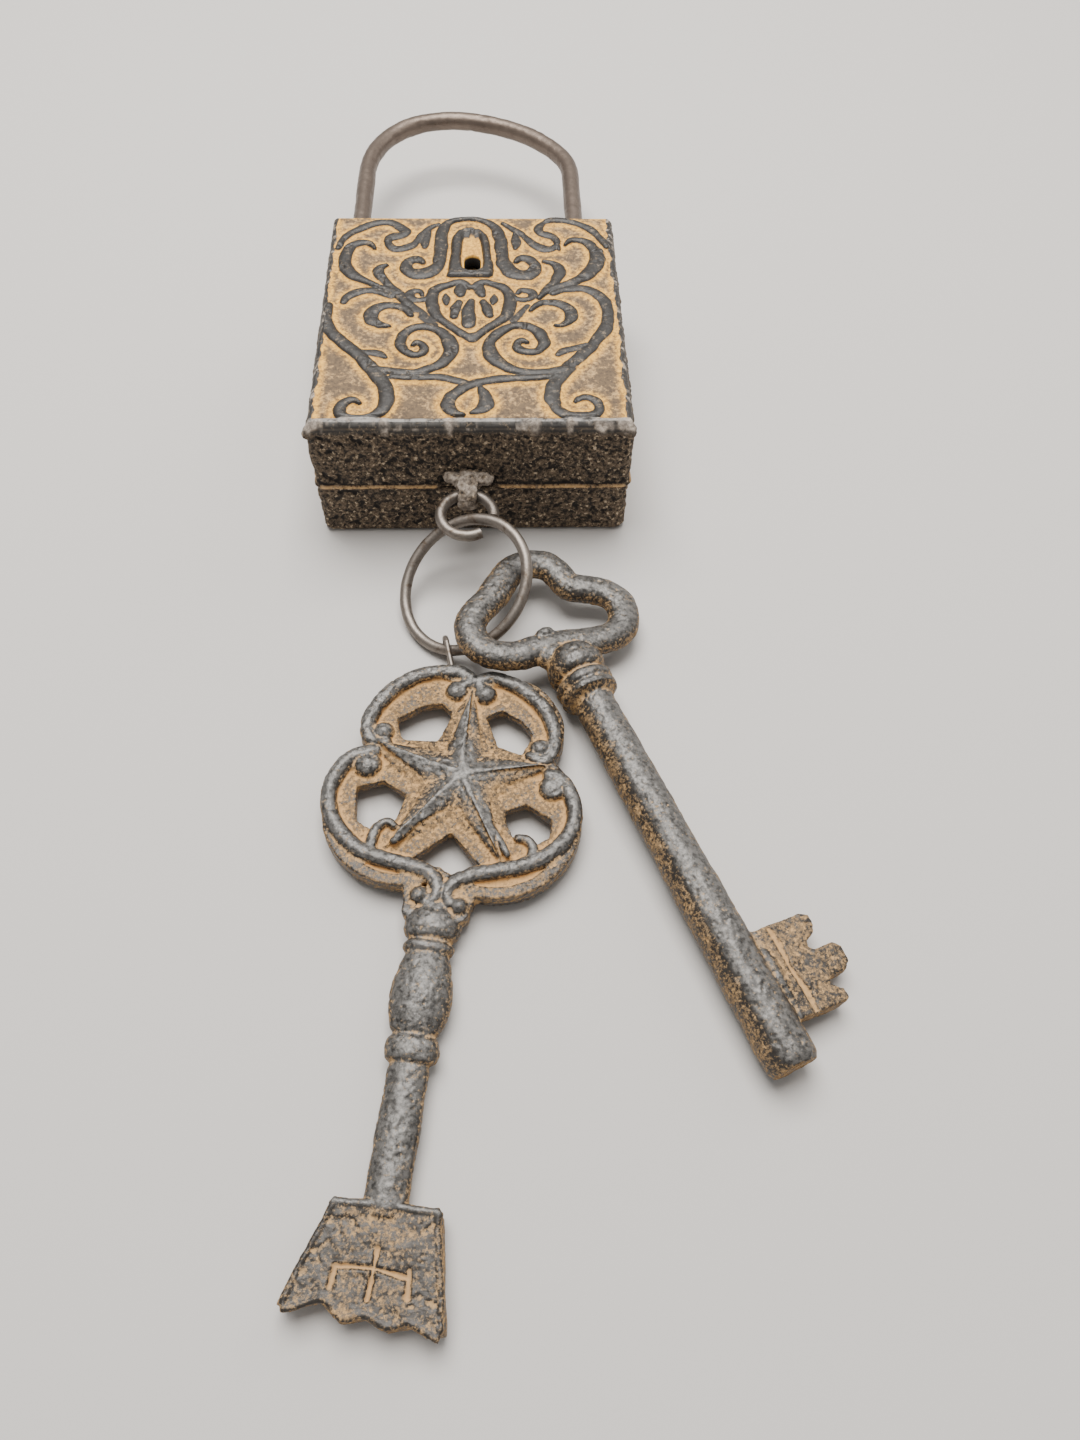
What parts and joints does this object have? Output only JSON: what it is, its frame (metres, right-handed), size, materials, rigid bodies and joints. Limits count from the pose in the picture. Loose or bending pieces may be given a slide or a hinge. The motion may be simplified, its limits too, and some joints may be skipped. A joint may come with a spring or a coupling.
{
  "type": "padlock",
  "caption": "Square cast-iron padlock with a tall bow shackle, scrolled front plate and keyhole, and two large ornamental keys hanging on linked wire rings.",
  "frame": {"origin": "centre of the case's flat back face, on the surface the lock lies on", "axes": "+Y along the case towards the shackle, +Z out of the ornamented front plate, +X to the right as the plate is read with the shackle at the top"},
  "size_m": [0.116, 0.3593, 0.0361],
  "materials": {
    "aged_casting": "rough sand-cast iron, black-brown with ochre rubbed into the recesses",
    "shackle_bronze": "smooth brown-bronze patina, satin",
    "bare_steel": "bare wire steel, dull",
    "brass_works": "dull brass",
    "spring_steel": "blued spring steel",
    "key_black": "satin black cast iron with ochre in the recesses"
  },
  "bodies": {
    "case": {"front_case": "aged_casting", "back_case": "aged_casting", "heel_pin": "bare_steel", "cam_plate": "brass_works", "cam_plate_screw_1": "bare_steel", "cam_plate_screw_2": "bare_steel", "bolt_keeper": "brass_works", "keeper_screw_1": "bare_steel", "keeper_screw_2": "bare_steel", "detent_spring": "spring_steel", "spring_screw": "bare_steel", "ward_ring": "brass_works", "case_screw_1": "bare_steel", "case_screw_2": "bare_steel", "case_screw_3": "bare_steel", "case_screw_4": "bare_steel"},
    "shackle": {"shackle": "shackle_bronze"},
    "lock_bolt": {"lock_bolt": "brass_works"},
    "key_cam": {"key_cam": "brass_works", "cam_pin": "bare_steel"},
    "small_ring": {"small_ring": "bare_steel"},
    "big_ring": {"big_ring": "bare_steel"},
    "star_key": {"star_key": "key_black", "star_key_eye": "bare_steel"},
    "trefoil_key": {"trefoil_key": "key_black"}
  },
  "joints": [
    {"name": "shackle_lift", "type": "slide", "parent": "case", "child": "shackle", "axis": [0, 1, 0], "range_m": [0, 0.0165]},
    {"name": "key_cam_turn", "type": "hinge", "parent": "case", "child": "key_cam", "pos_m": [0, 0.0229, 0.022], "axis": [0, 0, -1], "range_deg": [0, 60]},
    {"name": "bolt_throw", "type": "slide", "parent": "case", "child": "lock_bolt", "axis": [1, 0, 0], "range_m": [0, 0.00501]},
    {"name": "small_ring_swing", "type": "hinge", "parent": "case", "child": "small_ring", "pos_m": [-0.0014, -0.0484, 0.0176], "axis": [1, 0, 0], "range_deg": [-60, 10]},
    {"name": "big_ring_swing", "type": "hinge", "parent": "small_ring", "child": "big_ring", "pos_m": [-0.0014, -0.06158, 0.01691], "axis": [1, 0, 0], "range_deg": [-30, 1]},
    {"name": "star_key_swing", "type": "hinge", "parent": "big_ring", "child": "star_key", "pos_m": [-0.00645, -0.08582, 0.00297], "axis": [0, 0, 1], "range_deg": [-25, 0]},
    {"name": "trefoil_key_slide_round_ring", "type": "hinge", "parent": "big_ring", "child": "trefoil_key", "pos_m": [-0.0021, -0.0716, 0.0106], "axis": [-0.3902, -0.3402, 0.8555], "range_deg": [0, 10]}
  ],
  "couplings": [
    {"joint": "bolt_throw", "follows": "key_cam_turn", "m_per_rad": 0.0047746}
  ]
}
